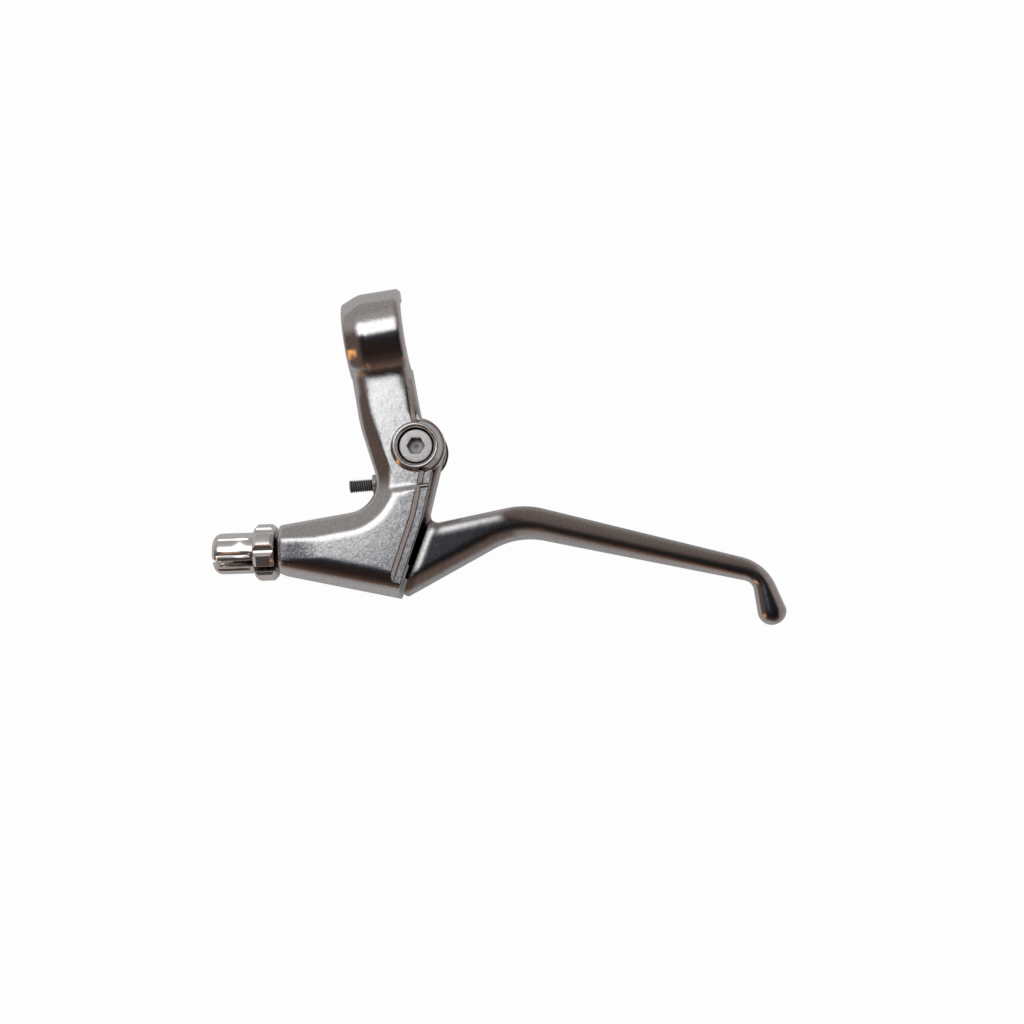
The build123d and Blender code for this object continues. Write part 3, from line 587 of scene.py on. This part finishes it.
# %% [markdown]
# ## A skin over the rings
# Neighbouring rings are joined by quads, and the two ends are closed by a fan to a
# tip. A slit ring runs out and back, so its ends are closed by strips instead. The
# smooth shading breaks at sharp turns, which keeps edges crisp without more faces.

# %% Helpers for the skin
SHARP_TURN = radians(35)


def skin(name, loops, first_tip=None, last_tip=None, slit=False):
    """Mesh object over rings of points, closed at its ends by tips or by strips."""
    count, last = len(loops[0]), (len(loops) - 1) * len(loops[0])
    points = [p for loop in loops for p in loop]
    faces = []
    for start in range(0, last, count):
        for i in range(count):
            j = (i + 1) % count
            faces.append((start + i, start + j, start + count + j, start + count + i))
    for tip, start in ((first_tip, 0), (last_tip, last)):
        if tip is not None:
            points.append(tip)
            faces += [(start + i, start + (i + 1) % count, len(points) - 1) for i in range(count)]
    if slit:
        for start in (0, last):
            for i in range(count // 2 - 1):
                k = count - 1 - i
                faces.append((start + i, start + i + 1, start + k - 1, start + k))
    mesh = bpy.data.meshes.new(name)
    mesh.from_pydata(points, [], faces)
    shape = bmesh.new()
    shape.from_mesh(mesh)
    bmesh.ops.recalc_face_normals(shape, faces=shape.faces)
    shape.to_mesh(mesh)
    shape.free()
    mesh.shade_smooth()
    mesh.set_sharp_from_angle(angle=SHARP_TURN)
    piece = bpy.data.objects.new(name, mesh)
    scene.collection.objects.link(piece)
    print(name, "has", len(mesh.polygons), "faces")
    return piece


def stand_for(piece, solid, body, finish=None):
    """The piece takes the place, the body, the slot and the finish of a solid."""
    piece.data.materials.append(finish or finishes[slot_of[solid]])
    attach(piece, body)
    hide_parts(solid)


print("skin breaks its shading at", round(SHARP_TURN, 2), "radians")

# %% [markdown]
# ## Socket screws
# The pivot bolt, the clamp bolt and the reach screw are all the same idea: a
# hexagon socket with a drilled dimple, a round head or none, and a threaded
# shank. One function strings their rings from the socket's floor to the far end,
# with stations in millimetres from the outer face inwards.

# %% Helper for the screws
SCREW_STEPS = 72
THREAD_STEPS = 10
EDGE_STEPS = 5
DIMPLE, DIMPLE_RIM = 0.55, 1.4
SOCKET_CHAMFER = 0.15


def socket_screw(name, origin, along, hexagon, hexagon_turn, socket_depth, head, shank, thread):
    axes = axis_frame(origin, along)
    head_radius, head_length, edge = head
    shank_radius, length = shank
    pitch, depth, thread_start = thread
    loops = []

    def add_ring(station, radius_at):
        loops.append(ring(axes, station, radius_at, SCREW_STEPS))

    def flats(angle):
        return hexagon_radius(hexagon, angle + hexagon_turn)

    add_ring(socket_depth + DIMPLE / 2, lambda a: DIMPLE)
    add_ring(socket_depth, lambda a: DIMPLE_RIM * DIMPLE)
    add_ring(socket_depth, flats)
    add_ring(SOCKET_CHAMFER, flats)
    add_ring(0.0, lambda a: flats(a) + SOCKET_CHAMFER)
    for step in range(EDGE_STEPS + 1):
        bend = step / EDGE_STEPS * pi / 2
        add_ring(edge * (1 - cos(bend)), lambda a: head_radius - edge * (1 - sin(bend)))
    if head_length:
        add_ring(head_length, lambda a: head_radius)
        add_ring(head_length, lambda a: shank_radius)
        add_ring(thread_start, lambda a: shank_radius)
    turns = int((length - edge - thread_start) / pitch * THREAD_STEPS)
    for step in range(1, turns):
        station = thread_start + step * pitch / THREAD_STEPS
        add_ring(station, lambda a: thread_radius(shank_radius, pitch, depth, station, a))
    add_ring(length, lambda a: shank_radius - edge - depth / 2)
    return skin(name, loops, place_point(axes, socket_depth + DIMPLE, 0, 0),
                place_point(axes, length, 0, 0))


print("a thread turn has", THREAD_STEPS, "rings of", SCREW_STEPS, "points")

# %% [markdown]
# ## Turning the three screws
# Each screw stands for its solid, with the same place and size. A head is given by its radius,
# length and rounded edge, a shank by its radius and the whole length, and a thread by its pitch,
# depth and start. The reach screw gets a paler black oxide of its own.

# %% Turn the screws
REACH_TILT = radians(4.4)
reach_in = Vector((cos(REACH_TILT), -sin(REACH_TILT), 0))
paler_black = metal(
    "paler_black_oxide", (0.26, 0.255, 0.26), (0.34, 0.335, 0.34), 0.3, 0.4, metallic=0.4,
    Grain_Tilt=0.01, Wave_Depth=0.0, Corner_Radius=5e-5, Reach=9e-4, Deep=0.45, Open=0.8)
reach_screw = socket_screw(
    "reach_screw_threaded", (-15.3, -44.6, 0), reach_in,
    hexagon=2.0, hexagon_turn=0.0, socket_depth=2.5,
    head=(2.0, 0.0, 0.4), shank=(2.0, 12.0), thread=(0.7, 0.42, 0.4))
stand_for(reach_screw, "reach_screw", "reach_screw", paler_black)
pivot_bolt = socket_screw(
    "pivot_bolt_turned", (7.8, -36.4, 9.6), (0, 0, -1),
    hexagon=5.0, hexagon_turn=radians(-9), socket_depth=2.6,
    head=(5.2, 3.4, 0.5), shank=(3.0, 26.1), thread=(1.0, 0.6, 14.0))
stand_for(pivot_bolt, "pivot_bolt", "bracket")
clamp_bolt = socket_screw(
    "clamp_bolt_turned", (0, -19.5, -14.5), (0, 0, 1),
    hexagon=4.0, hexagon_turn=0.0, socket_depth=2.5,
    head=(4.25, 5.0, 0.5), shank=(2.5, 18.0), thread=(0.8, 0.48, 7.0))
stand_for(clamp_bolt, "clamp_bolt", "bracket")

# %% [markdown]
# ## The barrel adjuster's place and sizes
# The adjuster sits on the cable's line, which runs past the pivot at the lever's
# pull. All stations are millimetres from the arm's end, outwards along that line.

# %% Lay out the adjuster
CABLE_ANGLE = radians(7.0)
CABLE_OUT = Vector((-cos(CABLE_ANGLE), sin(CABLE_ANGLE), 0))
PIVOT = Vector((7.8, -36.4, 0))
PULL, ARM_REACH = 30.7, 43.7
PULL_FOOT = PIVOT + Vector((-sin(CABLE_ANGLE), -cos(CABLE_ANGLE), 0)) * PULL
ARM_END = PULL_FOOT + CABLE_OUT * ARM_REACH
STEM_START, RING_END, BARREL_END = -11.0, 8.1, 21.5
STEM_RADIUS, STEM_PITCH, STEM_DEPTH = 4.95, 1.0, 0.55
BARREL_RADIUS, BARREL_CHAMFER, DOME = 6.4, 0.3, 2.9
SLIT_HALF, SLIT_TURN, BORE_RADIUS, BORE_START = 1.1, radians(-35), 3.05, 12.5
adjuster_axes = axis_frame(ARM_END, CABLE_OUT)
print("arm ends at", [round(c, 1) for c in ARM_END], "mm")

# %% [markdown]
# ## Dome, flutes and slit
# The barrel is slit along its whole length for the cable, so its rings are open:
# each loop runs round the outside from one side of the slit to the other and comes
# back round the inside. Flutes and dome are all in the outer radius, and a flute
# starts with a short ramp, as a round cutter leaves it.

# %% Helpers for the barrel
FLUTES, FLUTE_RADIUS, FLUTE_OUT, FLUTE_START = 8, 0.8, 6.75, 8.9
FLUTE_TURN = radians(-9)
RAMP_LENGTH, RAMP_DEPTH = 0.8, 0.75
ARC_STEPS = 144


def barrel_radius(station):
    rise = station - (BARREL_END - DOME)
    if rise <= 0:
        return BARREL_RADIUS
    return BARREL_RADIUS - DOME + sqrt(max(DOME * DOME - rise * rise, 0))


def fluted(radius, angle, station):
    pitch = 2 * pi / FLUTES
    off = (angle - FLUTE_TURN + pitch / 2) % pitch - pitch / 2
    inside = FLUTE_RADIUS ** 2 - (FLUTE_OUT * sin(off)) ** 2
    if inside <= 0 or station < FLUTE_START:
        return radius
    shallow = max(0.0, 1 - (station - FLUTE_START) / RAMP_LENGTH) * RAMP_DEPTH
    return min(radius, FLUTE_OUT * cos(off) - sqrt(inside) + shallow)


def slit_loop(station, outer, inner, outer_limit):
    """One open ring: round the outside from slit side to slit side, then back inside."""
    def arc(limit, radius_at):
        gap = asin(min(SLIT_HALF / limit, 1))
        sweep = 2 * pi - 2 * gap
        angles = [SLIT_TURN + gap + sweep * i / (ARC_STEPS - 1) for i in range(ARC_STEPS)]
        return [place_point(adjuster_axes, station, radius_at(a), a) for a in angles]
    return arc(outer_limit, outer) + arc(inner, lambda a: inner)[::-1]


print("barrel has", FLUTES, "flutes")

# %% [markdown]
# ## Turning the adjuster
# The rings go from the stem's inner end through the thread to the barrel, and
# close together where the flutes start and over the dome. The narrow cable bore
# steps out to the ferrule's bore at one station, which therefore stands twice.

# %% Turn the adjuster
STEM_STEPS, DOME_STEPS = 8, 12
LEAD_IN = 4
FLUTE_STATIONS = [FLUTE_START - 0.01, 9.1, 9.4, 9.8]
BORE_STATIONS = [BORE_START, BORE_START, 15.0, 17.0]

adjuster_loops = [slit_loop(
    STEM_START, lambda a: STEM_RADIUS - STEM_DEPTH, SLIT_HALF, STEM_RADIUS)]
for step in range(LEAD_IN, int((RING_END - STEM_START) / STEM_PITCH * STEM_STEPS)):
    station = STEM_START + step * STEM_PITCH / STEM_STEPS
    adjuster_loops.append(slit_loop(
        station, lambda a: thread_radius(STEM_RADIUS, STEM_PITCH, STEM_DEPTH, station, a),
        SLIT_HALF, STEM_RADIUS))
adjuster_loops.append(slit_loop(RING_END, lambda a: STEM_RADIUS, SLIT_HALF, STEM_RADIUS))
adjuster_loops.append(slit_loop(
    RING_END, lambda a: BARREL_RADIUS - BARREL_CHAMFER, SLIT_HALF, BARREL_RADIUS))
dome_stations = [BARREL_END - DOME * (1 - sin(pi / 2 * i / DOME_STEPS))
                 for i in range(DOME_STEPS + 1)]
bored = False
for station in [RING_END + BARREL_CHAMFER] + FLUTE_STATIONS + BORE_STATIONS + dome_stations:
    radius = barrel_radius(station)
    adjuster_loops.append(slit_loop(
        station, lambda a: fluted(radius, a, station),
        BORE_RADIUS if bored else SLIT_HALF, radius))
    bored = bored or station == BORE_START
adjuster = skin("barrel_adjuster_turned", adjuster_loops, slit=True)
stand_for(adjuster, "barrel_adjuster", "adjuster")
